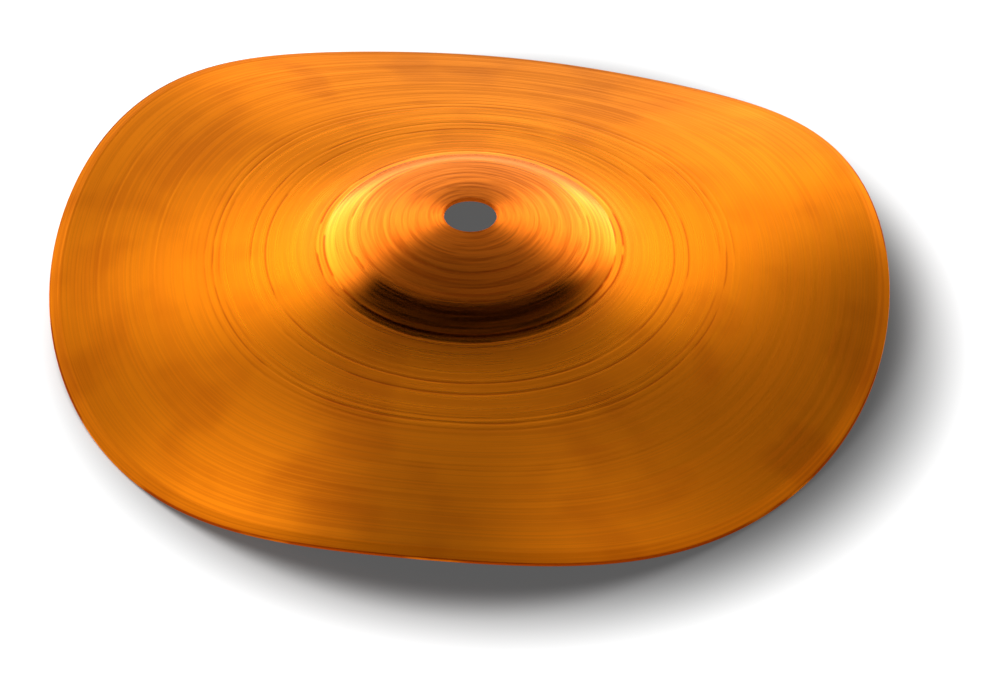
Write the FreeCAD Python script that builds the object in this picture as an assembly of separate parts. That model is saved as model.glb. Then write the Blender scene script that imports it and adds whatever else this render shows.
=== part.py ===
import FreeCAD, Part

import math
import os

# A 20 cm splash cymbal, made of one sheet of bronze.
# A domed bell stands in the middle, and a flare and a shallow bow fall away from it.
# The bow is bent into a wave, so that the rim rises to three crests and comes down to three feet.
# Lengths are millimetres, and angles are degrees counted from +X towards +Y.
# The axis of the hole is Z, and the middle of the hole's wall is the origin.

# The sheet, whose walls are measured along the axis
CYMBAL_DIAMETER = 203.2
WALL_AT_HOLE = 1.1
WALL_AT_RIM = 0.7

# The hole
HOLE_DIAMETER = 12.7
HOLE_CHAMFER = 0.25

# The bell, which is a flat crown inside a steeper shoulder
CROWN_DIAMETER = 58.0
CROWN_RISE = 5.1
SHOULDER_WIDTH = 6.3
SHOULDER_RISE = 3.15
CREASE_FILLET = 4.5

# The hollow flare at the foot of the bell, the bow after it, and the collar that the wave doesn't reach
FLARE_WIDTH = 14.0
FLARE_RISE = 2.1
BOW_RISE = 6.35
BOW_BULGE = 0.5
COLLAR_WIDTH = 5.0

# The rim, whose last band is turned down
BAND_WIDTH = 2.6
BAND_RISE = 1.0

# The wave in the bow: lobes in a turn, share of the wave's height, angle of a crest
WAVE_HEIGHT = 6.4
WAVE_GROWTH = 1.5
WAVE_SHARES = (
    (1, 0.27, 111.0),
    (2, 0.48, -12.0),
    (3, 1.00, 23.3),
    (4, 0.13, -2.0),
    (6, 0.10, 22.0),
)

# How finely the wave is drawn, and how far the curves between its rings may bend
POINTS_IN_RING = 48
RINGS_IN_BOW = 8
MOST_BOW_DEGREES = 2

# Sizes that follow from the ones above
RIM_RADIUS = CYMBAL_DIAMETER / 2
BAND_RADIUS = RIM_RADIUS - BAND_WIDTH
HOLE_RADIUS = HOLE_DIAMETER / 2
CROWN_RADIUS = CROWN_DIAMETER / 2
CREASE_RADIUS = CROWN_RADIUS + SHOULDER_WIDTH
FLARE_RADIUS = CREASE_RADIUS + FLARE_WIDTH
COLLAR_RADIUS = CREASE_RADIUS + COLLAR_WIDTH
TURNED_RADIUS = (CREASE_RADIUS + COLLAR_RADIUS) / 2

AXIS = FreeCAD.Vector(0, 0, 1)
SECTION_PLANE = Part.Plane(FreeCAD.Vector(), FreeCAD.Vector(0, 1, 0))


def wall_at(radius):
    """The sheet thins evenly from the hole to the rim."""
    way_out = (radius - HOLE_RADIUS) / (RIM_RADIUS - HOLE_RADIUS)
    return WALL_AT_HOLE + way_out * (WALL_AT_RIM - WALL_AT_HOLE)


def wave_at(radius, angle):
    """How far the wave lifts the sheet: not at all on the collar, and most at the rim."""
    way_out = max(0, radius - COLLAR_RADIUS) / (RIM_RADIUS - COLLAR_RADIUS)
    lobes = 0
    for count, share, crest in WAVE_SHARES:
        lobes += share * math.cos(math.radians(count * (angle - crest)))
    return WAVE_HEIGHT * lobes * way_out**WAVE_GROWTH


def short_arc(centre, start, end):
    """The shorter arc about a centre from start to end."""
    middle = (start + end) / 2 - centre
    middle.Length = (start - centre).Length
    return Part.Arc(start, centre + middle, end).toShape()


def tangent_centre(joint, centre, end):
    """The centre of the arc to end that leaves the arc about a centre without a corner at their joint."""
    inward = (centre - joint).normalize()
    chord = end - joint
    return joint + inward * (chord.dot(chord) / (2 * chord.dot(inward)))


class Side:
    """The section of one side of the sheet before the wave is bent, in the plane of X and Z."""

    def __init__(self, walls_down):
        """walls_down is 0 for the top of the sheet and 1 for its underside."""
        self.walls_down = walls_down
        height = WALL_AT_HOLE / 2
        self.bore = FreeCAD.Vector(HOLE_RADIUS, 0, (1 - 2 * walls_down) * (height - HOLE_CHAMFER))
        self.lip = self.point(HOLE_RADIUS + HOLE_CHAMFER, height)
        height -= CROWN_RISE
        self.crown = self.point(CROWN_RADIUS, height)
        height -= SHOULDER_RISE
        self.crease = self.point(CREASE_RADIUS, height)
        height -= FLARE_RISE
        self.flare = self.point(FLARE_RADIUS, height)
        height -= BOW_RISE
        self.band = self.point(BAND_RADIUS, height)
        height -= BAND_RISE
        self.rim = self.point(RIM_RADIUS, height)

    def point(self, radius, height):
        """The point of this side under a point of the top."""
        return FreeCAD.Vector(radius, 0, height - self.walls_down * wall_at(radius))

    def crown_centre(self):
        """The crown is a cap of a sphere, so its centre is on the axis."""
        chord = self.crown - self.lip
        middle = (self.crown + self.lip) / 2
        return FreeCAD.Vector(0, 0, middle.z + middle.x * chord.x / chord.z)

    def shoulder_centre(self):
        """The shoulder bends down where the crown ends."""
        return tangent_centre(self.crown, self.crown_centre(), self.crease)

    def bow_centre(self):
        """The bow stands up to BOW_BULGE above its chord."""
        chord = self.band - self.flare
        upward = FreeCAD.Vector(-chord.z, 0, chord.x).normalize()
        reach = (chord.Length**2 / 4 + BOW_BULGE**2) / (2 * BOW_BULGE)
        return (self.flare + self.band) / 2 + upward * (BOW_BULGE - reach)

    def flare_centre(self):
        """The flare runs into the bow, and its centre is above the sheet because it is hollow."""
        return tangent_centre(self.flare, self.bow_centre(), self.crease)

    def on_bow(self, radius):
        """The point of the flare or the bow at a distance from the axis."""
        centre = self.flare_centre() if radius < FLARE_RADIUS else self.bow_centre()
        reach = (self.flare - centre).Length
        rise = math.sqrt(reach**2 - (radius - centre.x) ** 2)
        return FreeCAD.Vector(radius, 0, centre.z + math.copysign(rise, self.flare.z - centre.z))

    def turned_edges(self):
        """The edges from the hole to halfway over the collar, with the crease rounded."""
        chamfer = Part.makeLine(self.bore, self.lip)
        crown = short_arc(self.crown_centre(), self.lip, self.crown)
        shoulder = short_arc(self.shoulder_centre(), self.crown, self.crease)
        collar = short_arc(self.flare_centre(), self.crease, self.on_bow(TURNED_RADIUS))
        fillet = Part.ChFi2d.FilletAlgo(shoulder, collar, SECTION_PLANE)
        fillet.perform(CREASE_FILLET + self.walls_down * wall_at(CREASE_RADIUS))
        return [chamfer, crown, *fillet.result(self.crease)]

    def turned_end(self):
        """The circle at which the turned part of the collar ends."""
        end = self.on_bow(TURNED_RADIUS)
        return Part.makeCircle(end.x, FreeCAD.Vector(0, 0, end.z), AXIS)


def ring(unbent):
    """The closed curve of a point of the section that is carried round the axis and lifted by the wave."""
    turns = [index / POINTS_IN_RING for index in range(POINTS_IN_RING + 1)]
    points = []
    for turn in turns[:-1]:
        lift = FreeCAD.Vector(0, 0, wave_at(unbent.x, 360 * turn))
        points.append(FreeCAD.Rotation(AXIS, 360 * turn).multVec(unbent) + lift)
    curve = Part.BSplineCurve()
    curve.interpolate(Points=points, PeriodicFlag=True, Parameters=turns)
    return curve.toShape()


def turned_faces(top, under):
    """The bell and half of the collar, top and underside, turned about the axis."""
    hole_wall = Part.makeLine(top.bore, under.bore)
    edges = Part.sortEdges([*top.turned_edges(), *under.turned_edges(), hole_wall])[0]
    return Part.Wire(edges).revolve(FreeCAD.Vector(), AXIS, 360).Faces


def bent_faces(side):
    """The rest of one side: the collar's other half, the wavy bow and the band at the rim."""
    step = (BAND_RADIUS - COLLAR_RADIUS) / (RINGS_IN_BOW - 1)
    rings = [ring(side.on_bow(COLLAR_RADIUS + index * step)) for index in range(RINGS_IN_BOW)]
    collar = Part.makeRuledSurface(side.turned_end(), rings[0])
    bow = Part.makeLoft([Part.Wire(edge) for edge in rings], False, False, False, MOST_BOW_DEGREES)
    band = Part.makeRuledSurface(ring(side.band), ring(side.rim))
    return collar.Faces + bow.Faces + band.Faces


def make_cymbal():
    """The whole sheet: its faces are sewn into one closed skin, and the skin is filled."""
    top = Side(0)
    under = Side(1)
    rim_edge = Part.makeRuledSurface(ring(top.rim), ring(under.rim))
    skin = Part.Compound(turned_faces(top, under) + bent_faces(top) + bent_faces(under) + rim_edge.Faces)
    skin.sewShape()
    return Part.Solid(skin.Shells[0])


cymbal = make_cymbal()
print("cymbal:", len(cymbal.Faces), "faces,", "valid" if cymbal.isValid() else "broken")
print("volume", round(cymbal.Volume), "mm3, box", cymbal.optimalBoundingBox())

os.makedirs("parts", exist_ok=True)
cymbal.exportStep("parts/cymbal.step")
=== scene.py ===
# %% [markdown]
# # A splash cymbal
#
# A splash cymbal is one thin sheet of bronze: a domed bell with a hole in its middle, and a wide
# bow round it. This one has been bent after it was turned, so that its rim runs in a wave with
# three crests and three feet.
# The packed model gives its place and its size. Here the sheet is made again, finely enough for
# the marks of the lathe, and gets its lacquered metal.
# Lengths are written in millimetres, and MM turns them into Blender's metres.

import math

import bmesh
import bpy
from mathutils import Matrix, Vector


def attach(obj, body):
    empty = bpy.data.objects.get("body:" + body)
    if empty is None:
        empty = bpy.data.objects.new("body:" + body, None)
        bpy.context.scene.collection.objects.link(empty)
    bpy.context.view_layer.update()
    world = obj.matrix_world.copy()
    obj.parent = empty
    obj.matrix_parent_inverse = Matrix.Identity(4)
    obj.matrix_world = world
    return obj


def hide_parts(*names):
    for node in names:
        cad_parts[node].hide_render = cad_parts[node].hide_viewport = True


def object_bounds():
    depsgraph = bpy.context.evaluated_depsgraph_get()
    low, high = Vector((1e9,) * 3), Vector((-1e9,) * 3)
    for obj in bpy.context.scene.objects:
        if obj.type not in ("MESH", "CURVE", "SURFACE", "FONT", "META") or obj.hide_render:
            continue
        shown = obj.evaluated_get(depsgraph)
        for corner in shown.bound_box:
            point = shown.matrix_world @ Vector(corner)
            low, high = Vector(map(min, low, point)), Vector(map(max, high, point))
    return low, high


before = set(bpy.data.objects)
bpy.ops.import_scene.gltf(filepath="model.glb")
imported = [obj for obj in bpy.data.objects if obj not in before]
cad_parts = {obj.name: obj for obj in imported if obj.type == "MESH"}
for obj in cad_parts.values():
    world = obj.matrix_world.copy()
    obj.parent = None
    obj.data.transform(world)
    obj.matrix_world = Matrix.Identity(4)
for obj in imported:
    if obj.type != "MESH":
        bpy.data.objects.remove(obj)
CAD_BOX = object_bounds()
MM = 0.001
print("packed nodes:", sorted(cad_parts))
print("box in mm:", [[round(value / MM, 2) for value in corner] for corner in CAD_BOX])

# %% [markdown]
# ## The camera
#
# The camera could be set by eye, but then it would be off by a little.
# It was worked out from the outline, the bell and the hole instead: 650 mm from the middle of the
# rim, looking down at 39 degrees, with a lens a little longer than a portrait lens.

# %% Set the camera
CAMERA_DISTANCE = 650.0
CAMERA_ELEVATION = 39.17
CAMERA_TILT = -1.44
CAMERA_PAN = 0.88
CAMERA_ROLL = 1.26
CAMERA_AIM_HEIGHT = -17.15
SENSOR_WIDTH = 36.0
FOCAL_SHARE = 2.666
NEAREST_SEEN = 10.0
FARTHEST_SEEN = 20000.0


def look_from_the_front():
    """The camera's matrix: it stands in front of the object, towards -Y, and looks down at it."""
    elevation = math.radians(CAMERA_ELEVATION)
    pan = math.radians(CAMERA_PAN)
    dip = elevation - math.radians(CAMERA_TILT)
    place = CAMERA_DISTANCE * Vector((0, -math.cos(elevation), math.sin(elevation)))
    level = math.cos(dip)
    ahead = Vector((math.sin(pan) * level, math.cos(pan) * level, -math.sin(dip)))
    right = ahead.cross(Vector((0, 0, 1))).normalized()
    turned = Matrix.Rotation(math.radians(-CAMERA_ROLL), 3, ahead)
    right = turned @ right
    up = right.cross(ahead)
    axes = Matrix((right, up, -ahead)).transposed().to_4x4()
    return Matrix.Translation(MM * (place + Vector((0, 0, CAMERA_AIM_HEIGHT)))) @ axes


camera = bpy.data.objects.new("camera", bpy.data.cameras.new("camera"))
bpy.context.scene.collection.objects.link(camera)
camera.data.sensor_width = SENSOR_WIDTH
camera.data.lens = FOCAL_SHARE * SENSOR_WIDTH
camera.data.clip_start = MM * NEAREST_SEEN
camera.data.clip_end = MM * FARTHEST_SEEN
camera.matrix_world = look_from_the_front()
bpy.context.scene.camera = camera
print("lens in mm:", round(camera.data.lens, 1))
print("camera at:", [round(value, 4) for value in camera.location])

# %% [markdown]
# ## The section of the sheet
#
# A cymbal is round before it is bent, so half a section says everything about its form: a flat
# crown, a steeper shoulder, a rounded crease, a hollow flare, a long shallow bow, and a narrow
# band that is turned down at the rim.
# Each stretch is an arc or a straight line, and each arc joins the one before it without a corner.
# A drawn curve would be quicker, but then no size could be read or changed.

# %% Sizes of the section
RIM_RADIUS = 101.6
BAND_RADIUS = 99.0
FLARE_RADIUS = 49.3
CREASE_RADIUS = 35.3
CROWN_RADIUS = 29.0
HOLE_RADIUS = 6.35
HOLE_CHAMFER = 0.25
CHAMFER_RADIUS = HOLE_RADIUS + HOLE_CHAMFER
WALL_AT_HOLE = 1.1
WALL_AT_RIM = 0.7
CROWN_DROP = 5.1
SHOULDER_DROP = 3.15
FLARE_DROP = 2.1
BOW_DROP = 6.35
BAND_DROP = 1.0
CREASE_FILLET = 4.5
BOW_BULGE = 0.5
RIM_ROUNDING = 0.2

LIP_HEIGHT = WALL_AT_HOLE / 2
CROWN_HEIGHT = LIP_HEIGHT - CROWN_DROP
CREASE_HEIGHT = CROWN_HEIGHT - SHOULDER_DROP
FLARE_HEIGHT = CREASE_HEIGHT - FLARE_DROP
BAND_HEIGHT = FLARE_HEIGHT - BOW_DROP
RIM_HEIGHT = BAND_HEIGHT - BAND_DROP


def wall_at(radius):
    """The sheet thins evenly from the hole to the rim."""
    way_out = (radius - HOLE_RADIUS) / (RIM_RADIUS - HOLE_RADIUS)
    return WALL_AT_HOLE + way_out * (WALL_AT_RIM - WALL_AT_HOLE)


print("from lip to rim in mm:", round(LIP_HEIGHT - RIM_HEIGHT, 2))
print("wall at the crease in mm:", round(wall_at(CREASE_RADIUS), 3))

# %% Centres of the arcs
def tangent_centre(joint, centre, end):
    """The centre of the arc to end that leaves the arc about a centre smoothly at their joint."""
    inward = (centre - joint).normalized()
    chord = end - joint
    return joint + inward * (chord.dot(chord) / (2 * chord.dot(inward)))


def crown_centre(lip, crown):
    """The crown is a cap of a ball, so its centre is on the axis."""
    chord = crown - lip
    middle = (crown + lip) / 2
    return Vector((0, middle.y + middle.x * chord.x / chord.y))


def bow_centre(flare, band):
    """The bow stands up to BOW_BULGE above its chord."""
    chord = band - flare
    upward = Vector((-chord.y, chord.x)).normalized()
    reach = (chord.length**2 / 4 + BOW_BULGE**2) / (2 * BOW_BULGE)
    return (flare + band) / 2 + upward * (BOW_BULGE - reach)


def fillet_centre(crease, shoulder_centre, flare_centre, fillet):
    """The fillet touches the shoulder's arc from outside and the hollow flare's from inside."""
    from_shoulder = (crease - shoulder_centre).length + fillet
    from_flare = (crease - flare_centre).length - fillet
    apart = flare_centre - shoulder_centre
    along = (from_shoulder**2 - from_flare**2 + apart.length**2) / (2 * apart.length)
    across = math.sqrt(from_shoulder**2 - along**2)
    step = apart.normalized()
    sideways = Vector((-step.y, step.x))
    sideways *= math.copysign(across, sideways.dot(crease - shoulder_centre))
    return shoulder_centre + step * along + sideways


crown_edge = Vector((CROWN_RADIUS, CROWN_HEIGHT))
ball = crown_edge - crown_centre(Vector((CHAMFER_RADIUS, LIP_HEIGHT)), crown_edge)
print("radius of the crown's ball in mm:", round(ball.length, 1))

# %% The top and the underside
def on_arc(centre, point, radius):
    """The height at a radius of the arc about a centre through a point."""
    rise = math.sqrt((point - centre).length_squared - (radius - centre.x) ** 2)
    return centre.y + math.copysign(rise, point.y - centre.y)


class Side:
    """The top of the sheet, or its underside, as a height for each radius."""

    def __init__(self, walls_down):
        """walls_down is 0 for the top and 1 for the underside."""
        corners = (
            (CHAMFER_RADIUS, LIP_HEIGHT),
            (CROWN_RADIUS, CROWN_HEIGHT),
            (CREASE_RADIUS, CREASE_HEIGHT),
            (FLARE_RADIUS, FLARE_HEIGHT),
            (BAND_RADIUS, BAND_HEIGHT),
            (RIM_RADIUS, RIM_HEIGHT),
        )
        lip, self.crown, crease, self.flare, self.band, self.rim = [
            Vector((radius, height - walls_down * wall_at(radius))) for radius, height in corners
        ]
        self.crown_centre = crown_centre(lip, self.crown)
        self.shoulder_centre = tangent_centre(self.crown, self.crown_centre, crease)
        self.bow_centre = bow_centre(self.flare, self.band)
        self.flare_centre = tangent_centre(self.flare, self.bow_centre, crease)
        self.fillet = CREASE_FILLET + walls_down * wall_at(CREASE_RADIUS)
        arcs = (self.shoulder_centre, self.flare_centre)
        self.fillet_centre = fillet_centre(crease, *arcs, self.fillet)

    def fillet_ends(self):
        """The radii at which the fillet touches the shoulder and the flare."""
        to_shoulder = (self.shoulder_centre - self.fillet_centre).normalized()
        from_flare = (self.fillet_centre - self.flare_centre).normalized()
        return [(self.fillet_centre + way * self.fillet).x for way in (to_shoulder, from_flare)]

    def height(self, radius):
        """The height of this side at a radius."""
        inner, outer = self.fillet_ends()
        if radius <= self.crown.x:
            return on_arc(self.crown_centre, self.crown, radius)
        if radius < inner:
            return on_arc(self.shoulder_centre, self.crown, radius)
        if radius < outer:
            aside = radius - self.fillet_centre.x
            return self.fillet_centre.y - math.sqrt(self.fillet**2 - aside**2)
        if radius < self.flare.x:
            return on_arc(self.flare_centre, self.flare, radius)
        if radius < self.band.x:
            return on_arc(self.bow_centre, self.flare, radius)
        slope = (self.rim.y - self.band.y) / (self.rim.x - self.band.x)
        return self.band.y + (radius - self.band.x) * slope


top = Side(0)
underside = Side(1)
print("fillet between radii:", [round(radius, 2) for radius in top.fillet_ends()])
print("heights:", [round(top.height(radius), 2) for radius in (6.6, 20, 29, 35.3, 49.3, 99)])

# %% [markdown]
# ## The marks of the lathe
#
# The turning tool leaves some rings that are deeper than the rest: on the crown, at both ends of
# the shoulder, and in a group halfway out. They are one to five hundredths of a millimetre deep,
# but metal shows every change of slope, so they are cut into the section and not painted on it.
# A bump would do from far away, but it would be lost in the mesh that others print or measure.

# %% Rings that stand out: radius, width and depth
DEEP_RINGS = (
    (10.3, 0.6, 0.014),
    (13.2, 0.7, 0.018),
    (16.1, 0.6, 0.014),
    (19.4, 0.6, 0.024),
    (22.6, 0.6, 0.016),
    (25.2, 0.6, 0.018),
    (27.0, 0.6, 0.032),
    (28.9, 0.6, 0.044),
    (30.3, 0.6, 0.016),
    (31.8, 0.6, 0.014),
    (33.6, 0.6, 0.014),
    (35.2, 0.6, 0.050),
    (37.0, 0.6, 0.050),
    (38.8, 0.6, 0.016),
    (46.0, 0.5, 0.010),
    (47.7, 0.5, 0.012),
    (49.4, 0.5, 0.040),
    (51.3, 0.5, 0.012),
    (52.9, 0.5, 0.040),
    (60.5, 0.5, 0.026),
    (62.1, 0.5, 0.038),
    (64.0, 0.5, 0.026),
    (66.0, 0.5, 0.014),
    (76.5, 0.6, 0.012),
    (85.1, 0.6, 0.012),
    (90.0, 0.6, 0.014),
    (98.5, 0.4, 0.016),
)
DEEPEST = max(depth for _, _, depth in DEEP_RINGS)


def ring_cut(radius):
    """How deep the rings are at a radius: each is a smooth valley."""
    cut = 0
    for middle, width, depth in DEEP_RINGS:
        aside = abs(radius - middle) / width
        if aside < 1:
            cut += depth * (1 - aside**2) ** 2
    return cut


print("deep rings:", len(DEEP_RINGS), "deepest", DEEPEST, "mm")

# %% [markdown]
# ## A line of points round the section
#
# The line starts at the top of the hole, runs over the top to the rim, round the rim's edge and
# back underneath. The top gets a point every quarter of a millimetre, since the lathe's grooves
# show there. The underside is plainer, so it gets by with fewer. The packed model's own points
# could be used instead, but they are too far apart for the rings.
# Each point carries two shares with it: how strongly the fine grooves are cut there, and how dark
# the metal is made there: how deep in a ring it lies, because stain settles in the rings, and a
# painted shade on the band and the rim's edge. The shoulder is turned more finely than the rest,
# so its grooves are weak. The rim's edge gets the full painted shade, and the band a little of it.

# %% Walk round the section
TOP_POINTS = 384
UNDERSIDE_POINTS = 84
BAND_POINTS = 10
CORNER_POINTS = 5
GROOVES_BEGIN_OVER = 2.0
SHOULDER_GROOVED = 0.35
BAND_GROOVED = 0.6
# painted shade: how far the band at the rim and the rim's edge are darkened
BAND_SHADE = 0.3
EDGE_SHADE = 1.0


def stretch(start, end, count):
    """Evenly spaced numbers from start to end, with both ends."""
    return [start + (end - start) * index / (count - 1) for index in range(count)]


def grooved_at(radius):
    """How strongly the fine grooves are cut into the top at a radius."""
    if CROWN_RADIUS < radius < CREASE_RADIUS:
        return SHOULDER_GROOVED
    return min(1, (radius - CHAMFER_RADIUS) / GROOVES_BEGIN_OVER)


def section_points():
    """The closed section's points: radius and height in mm, shares of grooves and of stain and
    painted shade.
    """
    points = [(HOLE_RADIUS, LIP_HEIGHT - HOLE_CHAMFER, 0, 0)]
    for radius in stretch(CHAMFER_RADIUS, BAND_RADIUS, TOP_POINTS):
        cut = ring_cut(radius)
        points.append((radius, top.height(radius) - cut, grooved_at(radius), cut / DEEPEST))
    inner = RIM_RADIUS - RIM_ROUNDING
    # the band and the rounded edge of the rim carry a share of painted shade
    for radius in stretch(BAND_RADIUS, inner, BAND_POINTS)[1:-1]:
        points.append((radius, top.height(radius), BAND_GROOVED, BAND_SHADE))
    for turn in stretch(math.pi / 2, 0, CORNER_POINTS):
        high = top.height(inner) - RIM_ROUNDING * (1 - math.sin(turn))
        points.append((inner + RIM_ROUNDING * math.cos(turn), high, 0, EDGE_SHADE))
    for turn in stretch(0, -math.pi / 2, CORNER_POINTS):
        low = underside.height(inner) + RIM_ROUNDING * (1 + math.sin(turn))
        points.append((inner + RIM_ROUNDING * math.cos(turn), low, 0, EDGE_SHADE))
    for radius in stretch(BAND_RADIUS, CHAMFER_RADIUS, UNDERSIDE_POINTS):
        points.append((radius, underside.height(radius), 0, 0))
    points.append((HOLE_RADIUS, LIP_HEIGHT - WALL_AT_HOLE + HOLE_CHAMFER, 0, 0))
    return points + points[:1]


SECTION = section_points()
section_mesh = bpy.data.meshes.new("section")
section_mesh.from_pydata([(MM * point[0], 0, MM * point[1]) for point in SECTION], [], [])
# the second share holds the stain in the rings and the painted shade at the rim
for name, column in (("grooved", 2), ("ring", 3)):
    marks = section_mesh.attributes.new(name, "FLOAT", "POINT")
    marks.data.foreach_set("value", [point[column] for point in SECTION])
print("points in the section:", len(SECTION))

# %% [markdown]
# ## A bench for node trees
#
# Both the form and the metal are built from nodes, and a tree of nodes is wired socket by socket.
# Written out, that takes three lines for every sum. A small class with short calls keeps the
# formulas readable, and works the same in all three kinds of tree: form, metal and world.

# %% Short calls for adding nodes
class Bench:
    """A node tree, with short calls that add a node and hand back what it puts out."""

    def __init__(self, tree):
        self.tree = tree

    def add(self, kind, *values, **settings):
        """Adds a node, gives it its settings, and links or sets its inputs in order."""
        node = self.tree.nodes.new(kind)
        for name, setting in settings.items():
            setattr(node, name, setting)
        self.feed(node, dict(enumerate(values)))
        return node

    def feed(self, node, values):
        """Links or sets inputs of a node, each named by its place or its name."""
        for key, value in values.items():
            if isinstance(value, bpy.types.NodeSocket):
                self.tree.links.new(value, node.inputs[key])
            else:
                node.inputs[key].default_value = value

    def maths(self, operation, *values, **settings):
        """The result of a Math node."""
        return self.add("ShaderNodeMath", *values, operation=operation, **settings).outputs[0]

    def triple(self, x, y, z):
        """Three numbers as a vector."""
        return self.add("ShaderNodeCombineXYZ", x, y, z).outputs[0]

    def parts(self, vector):
        """A vector as three numbers."""
        return self.add("ShaderNodeSeparateXYZ", vector).outputs

    def away(self, vector):
        """How far a place is from the axis."""
        x, y, _ = self.parts(vector)
        squares = self.maths("ADD", self.maths("MULTIPLY", x, x), self.maths("MULTIPLY", y, y))
        return self.maths("SQRT", squares)


def socket_in(tree, name, kind, value=None):
    """Adds a named input to a tree."""
    socket = tree.interface.new_socket(name, in_out="INPUT", socket_type=kind)
    if value is not None:
        socket.default_value = value


print("calls of a bench:", [name for name in vars(Bench) if not name.startswith("_")])

# %% [markdown]
# ## Turning, grooving and bending the sheet
#
# From here on the form follows a rule, so a tree of Geometry Nodes makes it. It turns the section
# about the axis, as the lathe turns the blank, cuts fine grooves by a noise that depends on the
# radius alone, and then lifts every point by the wave. A Screw modifier could turn the section
# as well, but the grooves and the wave need formulas, and here all three share their sizes.
# The wave is a sum of cosines round the rim: the share with three lobes in a turn gives the three
# crests, and the small ones make them as uneven as a bent sheet is. It grows from nothing at the
# bell to its full height at the rim. Each size is a named input of the tree.

# %% Sizes of the wave and the grooves. A share has lobes in a turn, a size and a crest in degrees
COLLAR_RADIUS = 40.3
WAVE_HEIGHT = 6.4
WAVE_GROWTH = 1.5
WAVE_SHARES = (
    (1, 0.27, 111.0),
    (2, 0.48, -12.0),
    (3, 1.00, 23.3),
    (4, 0.13, -2.0),
    (6, 0.10, 22.0),
)
GROOVE_PITCH = 0.9
GROOVE_DEPTH = 0.020
GROOVE_DETAIL = 1.0
GROOVE_SEED = 7.0
STEPS_IN_TURN = 192
MERGE_DISTANCE = 0.001


def wave_inputs():
    """The named sizes of the tree, each with the kind of socket and its value."""
    yield "Points", "NodeSocketInt", len(SECTION)
    yield "Steps", "NodeSocketInt", STEPS_IN_TURN
    yield "Groove Pitch", "NodeSocketFloat", MM * GROOVE_PITCH
    yield "Groove Depth", "NodeSocketFloat", MM * GROOVE_DEPTH
    yield "Groove Seed", "NodeSocketFloat", GROOVE_SEED
    yield "Collar Radius", "NodeSocketFloat", MM * COLLAR_RADIUS
    yield "Rim Radius", "NodeSocketFloat", MM * RIM_RADIUS
    yield "Wave Height", "NodeSocketFloat", MM * WAVE_HEIGHT
    yield "Wave Growth", "NodeSocketFloat", WAVE_GROWTH
    for count, share, crest in WAVE_SHARES:
        yield f"Share of {count}", "NodeSocketFloat", share
        yield f"Crest of {count}", "NodeSocketFloat", math.radians(crest)


print("sizes of the tree:", [name for name, _, _ in wave_inputs()])

# %% Turn the section about the axis
def sample(bench, kind, section, value, index):
    """The value that a point of the section has."""
    node = bench.add("GeometryNodeSampleIndex", data_type=kind)
    bench.feed(node, {"Geometry": section, "Value": value, "Index": index})
    return node.outputs[0]


def turn_section(bench, section, given):
    """A grid with a row for each step of the turn, wrapped round the axis along the section."""
    rows = bench.maths("ADD", given["Steps"], 1)
    grid = bench.add("GeometryNodeMeshGrid", 1, 1, rows, given["Points"])
    index = bench.add("GeometryNodeInputIndex").outputs[0]
    middle = bench.maths("ADD", index, 0.5)
    turn = bench.maths("FLOOR", bench.maths("DIVIDE", middle, given["Points"]))
    along = bench.maths("SUBTRACT", index, bench.maths("MULTIPLY", turn, given["Points"]))
    angle = bench.maths("MULTIPLY", bench.maths("DIVIDE", turn, given["Steps"]), math.tau)

    position = bench.add("GeometryNodeInputPosition").outputs[0]
    radius, _, height = bench.parts(sample(bench, "FLOAT_VECTOR", section, position, along))
    out = bench.maths("MULTIPLY", radius, bench.maths("COSINE", angle))
    back = bench.maths("MULTIPLY", radius, bench.maths("SINE", angle))

    sheet = grid.outputs[0]
    for name in ("grooved", "ring"):
        named = bench.add("GeometryNodeInputNamedAttribute", name, data_type="FLOAT").outputs[0]
        share = sample(bench, "FLOAT", section, named, along)
        kept = bench.add("GeometryNodeStoreNamedAttribute", data_type="FLOAT", domain="POINT")
        bench.feed(kept, {"Geometry": sheet, "Name": name, "Value": share})
        sheet = kept.outputs[0]
    wrapped = bench.add("GeometryNodeSetPosition")
    bench.feed(wrapped, {"Geometry": sheet, "Position": bench.triple(out, back, height)})
    near = MM * MERGE_DISTANCE
    return bench.add("GeometryNodeMergeByDistance", wrapped.outputs[0], True, near).outputs[0]


print("a row for every", round(360 / STEPS_IN_TURN, 3), "degrees")

# %% Groove and lift
def groove_cut(bench, place, given):
    """How far down the fine grooves go: a noise along the radius, where the sheet is grooved."""
    rings = bench.maths("DIVIDE", bench.away(place), given["Groove Pitch"])
    noise = bench.add("ShaderNodeTexNoise", noise_dimensions="1D")
    seeded = bench.maths("ADD", rings, given["Groove Seed"])
    bench.feed(noise, {"W": seeded, "Scale": 1.0, "Detail": GROOVE_DETAIL})
    share = bench.add("GeometryNodeInputNamedAttribute", "grooved", data_type="FLOAT").outputs[0]
    depth = bench.maths("MULTIPLY", given["Groove Depth"], share)
    return bench.maths("MULTIPLY", bench.maths("SUBTRACT", noise.outputs[0], 1.0), depth)


def wave_lift(bench, place, given):
    """How far up the wave lifts the sheet at a place."""
    x, y, _ = bench.parts(place)
    angle = bench.maths("ARCTAN2", y, x)
    total = 0.0
    for count, _, _ in WAVE_SHARES:
        from_crest = bench.maths("SUBTRACT", angle, given[f"Crest of {count}"])
        lobe = bench.maths("COSINE", bench.maths("MULTIPLY", from_crest, float(count)))
        lobe = bench.maths("MULTIPLY", lobe, given[f"Share of {count}"])
        total = bench.maths("ADD", total, lobe)
    past_collar = bench.maths("SUBTRACT", bench.away(place), given["Collar Radius"])
    width = bench.maths("SUBTRACT", given["Rim Radius"], given["Collar Radius"])
    way_out = bench.maths("DIVIDE", bench.maths("MAXIMUM", past_collar, 0.0), width)
    growth = bench.maths("POWER", way_out, given["Wave Growth"])
    return bench.maths("MULTIPLY", bench.maths("MULTIPLY", total, growth), given["Wave Height"])


print("lobes in a turn:", [count for count, _, _ in WAVE_SHARES])

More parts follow.
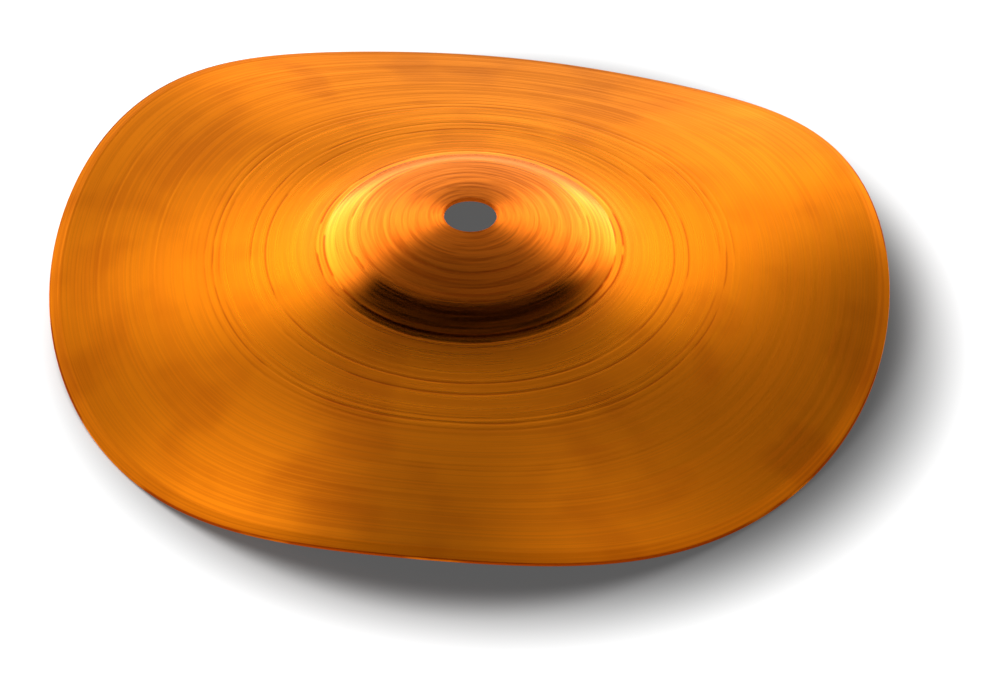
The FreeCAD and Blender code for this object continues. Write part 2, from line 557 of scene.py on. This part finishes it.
# %% Put the tree together
def lathe_and_bend():
    """The tree from the section to the bent sheet."""
    tree = bpy.data.node_groups.new("lathe and bend", "GeometryNodeTree")
    socket_in(tree, "Section", "NodeSocketGeometry")
    for name, kind, value in wave_inputs():
        socket_in(tree, name, kind, value)
    socket_in(tree, "Bronze", "NodeSocketMaterial")
    tree.interface.new_socket("Sheet", in_out="OUTPUT", socket_type="NodeSocketGeometry")
    bench = Bench(tree)
    given = bench.add("NodeGroupInput").outputs
    turned = turn_section(bench, given["Section"], given)
    place = bench.add("GeometryNodeInputPosition").outputs[0]
    lift = bench.maths("ADD", groove_cut(bench, place, given), wave_lift(bench, place, given))
    bent = bench.add("GeometryNodeSetPosition")
    bench.feed(bent, {"Geometry": turned, "Offset": bench.triple(0.0, 0.0, lift)})
    real = bench.add("GeometryNodeRealizeInstances", bent.outputs[0])
    finished = bench.add("GeometryNodeSetMaterial")
    bench.feed(finished, {"Geometry": real.outputs[0], "Material": given["Bronze"]})
    bench.add("NodeGroupOutput", finished.outputs[0])
    return tree


lathe = lathe_and_bend()
print("nodes in the tree:", len(lathe.nodes), "inputs:", len(lathe.interface.items_tree) - 1)

# %% [markdown]
# ## The metal
#
# Lathed bronze looks orange where it mirrors something bright, and nearly black where it mirrors
# something dark. The lacquer over it is thin, so it gets no coat of its own and only warms the
# colour. The grooves spread each reflection across themselves, towards and away from the axis,
# which gives the bright wedges on both sides of the bell. A plain rough metal would show round
# blots there. An anisotropic one, with its tangent round the Z axis, shows wedges.
#
# Rings, which are a noise stretched round the axis, vary the rest: fine lines darken the colour a
# little, and change the roughness and the height as well. They are used three times, each with
# its own sizes, so they are a node group with named inputs.

# %% Rings round the axis, and two small helpers
PATTERN_DETAIL = 2.0


def ring_group():
    """Lines round the axis at about a pitch, which change a given number of times in a turn."""
    tree = bpy.data.node_groups.new("rings", "ShaderNodeTree")
    socket_in(tree, "Place", "NodeSocketVector")
    socket_in(tree, "Pitch", "NodeSocketFloat", MM)
    socket_in(tree, "Breaks", "NodeSocketFloat", 1.0)
    socket_in(tree, "Seed", "NodeSocketFloat", 0.0)
    tree.interface.new_socket("Value", in_out="OUTPUT", socket_type="NodeSocketFloat")
    bench = Bench(tree)
    given = bench.add("NodeGroupInput").outputs
    x, y, _ = bench.parts(given["Place"])
    radius = bench.maths("MAXIMUM", bench.away(given["Place"]), MM)
    across = bench.maths("MULTIPLY", bench.maths("DIVIDE", x, radius), given["Breaks"])
    along = bench.maths("MULTIPLY", bench.maths("DIVIDE", y, radius), given["Breaks"])
    rings = bench.maths("ADD", bench.maths("DIVIDE", radius, given["Pitch"]), given["Seed"])
    noise = bench.add("ShaderNodeTexNoise")
    spot = bench.triple(across, along, rings)
    bench.feed(noise, {"Vector": spot, "Scale": 1.0, "Detail": PATTERN_DETAIL})
    bench.add("NodeGroupOutput", noise.outputs[0])
    return tree


RINGS = ring_group()


def rings(bench, place, pitch, breaks, seed):
    """The rings at a pitch."""
    node = bench.add("ShaderNodeGroup", node_tree=RINGS)
    bench.feed(node, {"Place": place, "Pitch": MM * pitch, "Breaks": breaks, "Seed": seed})
    return node.outputs[0]


def range_of(bench, value, low, high, to_low=0.0, to_high=1.0):
    """A value carried from one range to another and held there."""
    levels = (value, low, high, to_low, to_high)
    return bench.add("ShaderNodeMapRange", *levels, interpolation_type="SMOOTHSTEP").outputs[0]


def mix_colours(bench, share, first, second):
    """A colour between two."""
    node = bench.add("ShaderNodeMix", data_type="RGBA")
    bench.feed(node, {0: share, 6: first, 7: second})
    return node.outputs[2]


print("nodes in the rings:", len(RINGS.nodes))

# %% [markdown]
# ## Stain, painted shade, clouds and lines
#
# A used cymbal darkens where polish doesn't reach. Stain sits in the deep rings, and a painted
# shade lies on the band at the rim and on the rim's edge; both break off in places. A plain noise
# adds faint clouds off the bell, where the lacquer isn't quite even, and the bell has some coarser
# lines of its own.
# All of this could be painted as a picture, but then it would blur close up. As formulas of the
# place on the metal, it stays sharp at any distance.

# %% How dark the metal is. Rings have a pitch, breaks in a turn and a seed
# the stain and the painted shade at the rim both break off along these rings
STAIN_AND_SHADE_RINGS = (2.0, 3.0, 21.0)
STAIN_AND_SHADE_EDGES = (0.42, 0.54)
STAIN_AND_SHADE_POWER = 2.0
CLOUDS_IN_METRE = 42.0
CLOUD_EDGES = (0.46, 0.68)
CLOUD_SHARE = 0.24
LINE_EDGES = (0.42, 0.60)
LINE_SHARE = 0.16
COARSE_RINGS = (1.0, 0.8, 11.0)
COARSE_EDGES = (0.36, 0.54)
COARSE_SHARE = 0.40


def darkness(bench, place, fine, from_bell):
    """The share of dark metal: stain in deep rings, painted shade at the rim, clouds, fine lines
    and lines on the bell.
    """
    ring = bench.add("ShaderNodeAttribute", attribute_name="ring").outputs["Fac"]
    unbroken = range_of(bench, rings(bench, place, *STAIN_AND_SHADE_RINGS), *STAIN_AND_SHADE_EDGES)
    # stain in the deep rings, and painted shade on the band and the rim's edge
    stain_and_rim_shade = bench.maths("MULTIPLY", bench.maths("POWER", ring, STAIN_AND_SHADE_POWER), unbroken)
    mottle = bench.add("ShaderNodeTexNoise")
    bench.feed(mottle, {"Vector": place, "Scale": CLOUDS_IN_METRE, "Detail": PATTERN_DETAIL})
    clouds = range_of(bench, mottle.outputs[0], *CLOUD_EDGES, 0.0, CLOUD_SHARE)
    clouds = bench.maths("MULTIPLY", clouds, from_bell)
    lines = range_of(bench, fine, *LINE_EDGES, LINE_SHARE, 0.0)
    coarse = range_of(bench, rings(bench, place, *COARSE_RINGS), *COARSE_EDGES, COARSE_SHARE, 0.0)
    on_bell = bench.maths("MULTIPLY", coarse, bench.maths("SUBTRACT", 1.0, from_bell))
    marks = bench.maths("ADD", bench.maths("ADD", clouds, lines), on_bell)
    return bench.maths("ADD", stain_and_rim_shade, marks, use_clamp=True)


print("most that each darkens: clouds", CLOUD_SHARE, "lines", LINE_SHARE, "bell", COARSE_SHARE)

# %% [markdown]
# ## How rough each zone is
#
# The crown is turned coarsely and the shoulder of the bell most finely, so its reflections end
# sharply. The bow gets duller towards the rim, which evens out what it mirrors. The metal round
# the hole is the dullest, since felts rub it.
# One roughness for the whole sheet would be simpler, but then the bell's dark front would either
# blur away or show on the bow as well.

# %% Steps of the roughness: where each begins and ends, and what it reaches
HUB_ROUGHNESS = 0.40
ROUGHNESS_STEPS = {
    "crown": (9.0, 16.0, 0.32),
    "shoulder": (26.0, 30.0, 0.16),
    "inner bow": (35.0, 39.0, 0.30),
    "outer bow": (55.0, 95.0, 0.35),
    "band": (98.2, 99.2, 0.46),
}
HOLE_EDGE_STEP = (6.6, 7.2, 0.8)
LINE_ROUGHNESS = 0.03
LINE_ROUGHNESS_EDGES = (0.35, 0.65)


def roughness(bench, place, fine):
    """A level for each zone, up and down a little with the fine lines, and a dull hole's edge."""
    away = bench.away(place)
    level = last = HUB_ROUGHNESS
    for begin, end, reached in ROUGHNESS_STEPS.values():
        step = range_of(bench, away, MM * begin, MM * end, 0.0, reached - last)
        level = bench.maths("ADD", level, step)
        last = reached
    lines = range_of(bench, fine, *LINE_ROUGHNESS_EDGES, LINE_ROUGHNESS, -LINE_ROUGHNESS)
    level = bench.maths("ADD", level, lines)
    begin, end, worn = HOLE_EDGE_STEP
    edge = range_of(bench, away, MM * begin, MM * end, worn, 0.0)
    return bench.maths("MAXIMUM", level, edge)


print("roughness:", {zone: step[2] for zone, step in ROUGHNESS_STEPS.items()})

# %% The bronze
BRONZE = (0.98, 0.252, 0.004, 1)
BELL_BRONZE = (0.95, 0.21, 0.011, 1)
# the dark metal, for stain, the painted shade at the rim, clouds and lines
DEEP_BRONZE = (0.48, 0.065, 0.001, 1)
EDGE_TINT = (0.90, 0.88, 0.64, 1)
BELL_EDGE = (28.0, 46.0)
FINE_RINGS = (0.5, 1.6, 3.0)
BUMP_STRENGTH = 0.5
BUMP_HEIGHT = 0.02
ANISOTROPY = 0.98
ACROSS_GROOVES = 0.25


def make_bronze():
    """The lacquered and lathed metal."""
    material = bpy.data.materials.new("lathed bronze")
    material.use_nodes = True
    bench = Bench(material.node_tree)
    place = bench.add("ShaderNodeTexCoord").outputs["Object"]
    fine = rings(bench, place, *FINE_RINGS)
    from_bell = range_of(bench, bench.away(place), *[MM * radius for radius in BELL_EDGE])
    clean = mix_colours(bench, from_bell, BELL_BRONZE, BRONZE)
    colour = mix_colours(bench, darkness(bench, place, fine, from_bell), clean, DEEP_BRONZE)
    grooved = bench.add("ShaderNodeAttribute", attribute_name="grooved").outputs["Fac"]
    bump = bench.add("ShaderNodeBump")
    bench.feed(bump, {
        "Strength": BUMP_STRENGTH,
        "Distance": MM * BUMP_HEIGHT,
        "Height": bench.maths("MULTIPLY", fine, grooved),
    })
    bench.feed(material.node_tree.nodes["Principled BSDF"], {
        "Base Color": colour,
        "Metallic": 1.0,
        "Roughness": roughness(bench, place, fine),
        "Normal": bump.outputs[0],
        "Specular Tint": EDGE_TINT,
        "Anisotropic": ANISOTROPY,
        "Anisotropic Rotation": ACROSS_GROOVES,
        "Tangent": bench.add("ShaderNodeTangent", direction_type="RADIAL", axis="Z").outputs[0],
    })
    return material


bronze = make_bronze()
print("nodes in the bronze:", len(bronze.node_tree.nodes))

# %% [markdown]
# ## From the tree to a plain mesh
#
# The tree hangs on the section as a modifier. Its result could stay live, but a plain mesh is
# quicker to render and safer to export, so it is taken off and the modifier goes with its holder.
# The turned grid could come out with its faces inwards, so they are made to point outwards, and
# the volume shows that they do. A closed sheet has no open edge.

# %% Take the sheet off the tree
def plain_mesh(source, tree, values):
    """The result of a tree on a mesh, as a plain mesh."""
    holder = bpy.data.objects.new("holder", source)
    bpy.context.scene.collection.objects.link(holder)
    modifier = holder.modifiers.new("tree", "NODES")
    modifier.node_group = tree
    for item in tree.interface.items_tree:
        if item.in_out == "INPUT" and item.name in values:
            modifier[item.identifier] = values[item.name]
    evaluated = holder.evaluated_get(bpy.context.evaluated_depsgraph_get())
    result = bpy.data.meshes.new_from_object(evaluated)
    bpy.data.objects.remove(holder)
    return result


sheet_values = {name: value for name, _, value in wave_inputs()}
sheet_values["Bronze"] = bronze
sheet_mesh = plain_mesh(section_mesh, lathe, sheet_values)
print("points in the sheet:", len(sheet_mesh.vertices))

# %% Finish the sheet
SHARP_ANGLE = 30.0

work = bmesh.new()
work.from_mesh(sheet_mesh)
bmesh.ops.recalc_face_normals(work, faces=work.faces)
if work.calc_volume(signed=True) < 0:
    bmesh.ops.reverse_faces(work, faces=work.faces)
print("faces:", len(work.faces), "volume in mm3:", round(work.calc_volume() / MM**3))
print("open edges:", sum(not edge.is_manifold for edge in work.edges))
work.to_mesh(sheet_mesh)
work.free()
sheet_mesh.shade_smooth()
sheet_mesh.set_sharp_from_angle(angle=math.radians(SHARP_ANGLE))
sheet = bpy.data.objects.new("cymbal_sheet", sheet_mesh)
bpy.context.scene.collection.objects.link(sheet)
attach(sheet, "root")
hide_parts("cymbal")

# %% [markdown]
# ## The floor
#
# The floor is white and matt. A soft round shade on it stands for the light that a sheet so close
# to the floor keeps away from all sides. The lamp alone throws a shadow to one side only, and a
# grey floor would darken the whole picture, so the floor's colour gets darker under the object.
# The floor glows a little for the camera and in what the metal mirrors, so that the deepest
# shadow is grey and not black.

# %% Paint for the floor
FLOOR_COLOUR = (0.92, 0.92, 0.92, 1)
SHADE_COLOUR = (0.02, 0.02, 0.02, 1)
SHADE_CENTRE = (8.8, -6.2)
SHADE_INNER = 89.0
SHADE_OUTER = 123.0
SHADE_LEVEL = 0.10
GLOW_COLOUR = (1, 1, 1, 1)


def mirrored(path):
    """The rays that show what metal or glass mirrors or lets through."""
    return path["Is Glossy Ray"], path["Is Transmission Ray"]


def make_floor_paint():
    """White, with a soft round shade under the object, which never looks quite black."""
    paint = bpy.data.materials.new("white floor")
    paint.use_nodes = True
    bench = Bench(paint.node_tree)
    x, y, _ = bench.parts(bench.add("ShaderNodeTexCoord").outputs["Object"])
    aside = bench.maths("SUBTRACT", x, MM * SHADE_CENTRE[0])
    behind = bench.maths("SUBTRACT", y, MM * SHADE_CENTRE[1])
    from_centre = bench.away(bench.triple(aside, behind, 0.0))
    open_share = range_of(bench, from_centre, MM * SHADE_INNER, MM * SHADE_OUTER)
    path = bench.add("ShaderNodeLightPath").outputs
    seen = bench.maths("MAXIMUM", path["Is Camera Ray"], bench.maths("MAXIMUM", *mirrored(path)))
    bench.feed(paint.node_tree.nodes["Principled BSDF"], {
        "Base Color": mix_colours(bench, open_share, SHADE_COLOUR, FLOOR_COLOUR),
        "Roughness": 1.0,
        "Specular IOR Level": 0.0,
        "Emission Color": GLOW_COLOUR,
        "Emission Strength": bench.maths("MULTIPLY", seen, SHADE_LEVEL),
    })
    return paint


floor_paint = make_floor_paint()
print("the shade fades from", SHADE_INNER, "to", SHADE_OUTER, "mm from its centre")

# %% Lay the floor
FLOOR_SIZE = 3000.0


def lay_floor(height):
    """A square as low as the object's feet."""
    half = MM * FLOOR_SIZE / 2
    plan = ((-half, -half), (half, -half), (half, half), (-half, half))
    mesh = bpy.data.meshes.new("floor")
    mesh.from_pydata([(x, y, height) for x, y in plan], [], [(0, 1, 2, 3)])
    mesh.materials.append(floor_paint)
    floor = bpy.data.objects.new("floor", mesh)
    bpy.context.scene.collection.objects.link(floor)


lay_floor(CAD_BOX[0].z)
print("floor at", round(CAD_BOX[0].z / MM, 2), "mm")

# %% [markdown]
# ## The lamp
#
# One wide lamp from the back left throws the object's shadow to the front right. A small lamp
# would give it a hard edge, so this one is as wide as a big window. The metal doesn't mirror it:
# what the metal shows is the tent in the next step.

# %% Hang the lamp
LAMP_STRENGTH = 4.2
LAMP_WIDTH = 50.0
LAMP_ELEVATION = 65.0
LAMP_AZIMUTH = 150.0


def hang_lamp():
    """A wide lamp from behind on the left, which the metal doesn't mirror."""
    elevation = math.radians(LAMP_ELEVATION)
    azimuth = math.radians(LAMP_AZIMUTH)
    level = math.cos(elevation)
    way = Vector((math.cos(azimuth) * level, math.sin(azimuth) * level, math.sin(elevation)))
    lamp = bpy.data.objects.new("lamp", bpy.data.lights.new("lamp", "SUN"))
    bpy.context.scene.collection.objects.link(lamp)
    lamp.data.energy = LAMP_STRENGTH
    lamp.data.angle = math.radians(LAMP_WIDTH)
    lamp.visible_glossy = False
    lamp.rotation_euler = way.to_track_quat("Z", "Y").to_euler()


hang_lamp()
print("lamp", LAMP_ELEVATION, "degrees up, at azimuth", LAMP_AZIMUTH)

# %% [markdown]
# ## The light tent
#
# What the metal mirrors is the world, which is built like a light tent: a glow all round, which
# reaches higher in front than behind, three panels behind the object that are brightest at the
# foot, and a roof that is nearly black. The roof gives the bell its dark front.
# Lamps alone would leave most of the metal dark, because metal shows what stands round it, and
# not the light that falls on it.

# %% Panels: azimuth and half width in degrees, level at the foot and at the head
PANELS = (
    (62.0, 20.0, 4.2, 1.8),
    (126.0, 25.0, 4.6, 2.0),
    (92.0, 42.0, 2.7, 0.90),
)
PANEL_SIDE_BLUR = 26.0
PANEL_FOOT = 0.05
PANEL_HEAD = 0.60
PANEL_END = 0.82


def panel(bench, turn, height, azimuth, half_width, foot_level, head_level):
    """The level of one panel in a direction: it gets dimmer upwards, and fades at its sides."""
    aside = bench.maths("ABSOLUTE", bench.maths("SUBTRACT", turn, math.radians(azimuth)))
    inner = math.radians(half_width - PANEL_SIDE_BLUR / 2)
    outer = math.radians(half_width + PANEL_SIDE_BLUR / 2)
    across = range_of(bench, aside, inner, outer, 1.0, 0.0)
    levels = (height, PANEL_FOOT, PANEL_HEAD, foot_level, head_level)
    return bench.maths("MULTIPLY", across, bench.add("ShaderNodeMapRange", *levels).outputs[0])


print("panels at azimuths:", [sizes[0] for sizes in PANELS])

# %% Hang the tent
GLOW_LEVEL = 1.1
GLOW_TILT = 0.18
GLOW_HEAD = 0.35
GLOW_END = 0.88
ROOF_LEVEL = 0.006
FLOOR_LIGHT = 0.12


def tent_level(bench):
    """The level of light from each direction round the object."""
    way = bench.add("ShaderNodeTexCoord").outputs["Generated"]
    x, y, z = bench.parts(way)
    turn = bench.maths("ARCTAN2", y, x)
    level = 0.0
    for sizes in PANELS:
        level = bench.maths("MAXIMUM", level, panel(bench, turn, z, *sizes))
    level = bench.maths("MULTIPLY", level, range_of(bench, z, PANEL_HEAD, PANEL_END, 1.0, 0.0))
    tilted = bench.maths("ADD", z, bench.maths("MULTIPLY", y, GLOW_TILT))
    glow = range_of(bench, tilted, GLOW_HEAD, GLOW_END, GLOW_LEVEL, ROOF_LEVEL)
    return bench.maths("MAXIMUM", level, glow)


def mix_levels(bench, share, first, second):
    """A level between two."""
    node = bench.add("ShaderNodeMix", data_type="FLOAT")
    bench.feed(node, {0: share, 2: first, 3: second})
    return node.outputs[0]


def hang_tent():
    """The world: the tent for the metal, a little light for the floor, and white for the camera."""
    world = bpy.data.worlds.new("light tent")
    world.use_nodes = True
    bench = Bench(world.node_tree)
    path = bench.add("ShaderNodeLightPath").outputs
    by_metal = bench.maths("MAXIMUM", *mirrored(path))
    lit = mix_levels(bench, by_metal, FLOOR_LIGHT, tent_level(bench))
    shown = mix_levels(bench, path["Is Camera Ray"], lit, 1.0)
    backdrop = world.node_tree.nodes["Background"]
    bench.feed(backdrop, {"Color": GLOW_COLOUR, "Strength": shown})
    bpy.context.scene.world = world


hang_tent()
print("nodes in the tent:", len(bpy.context.scene.world.node_tree.nodes))

# %% [markdown]
# ## The view
#
# The view transform is plain, so that a colour shows as it is written. The dressed model has to
# stay the size of the packed one.

# %% Set the view transform
bpy.context.scene.view_settings.view_transform = "Standard"
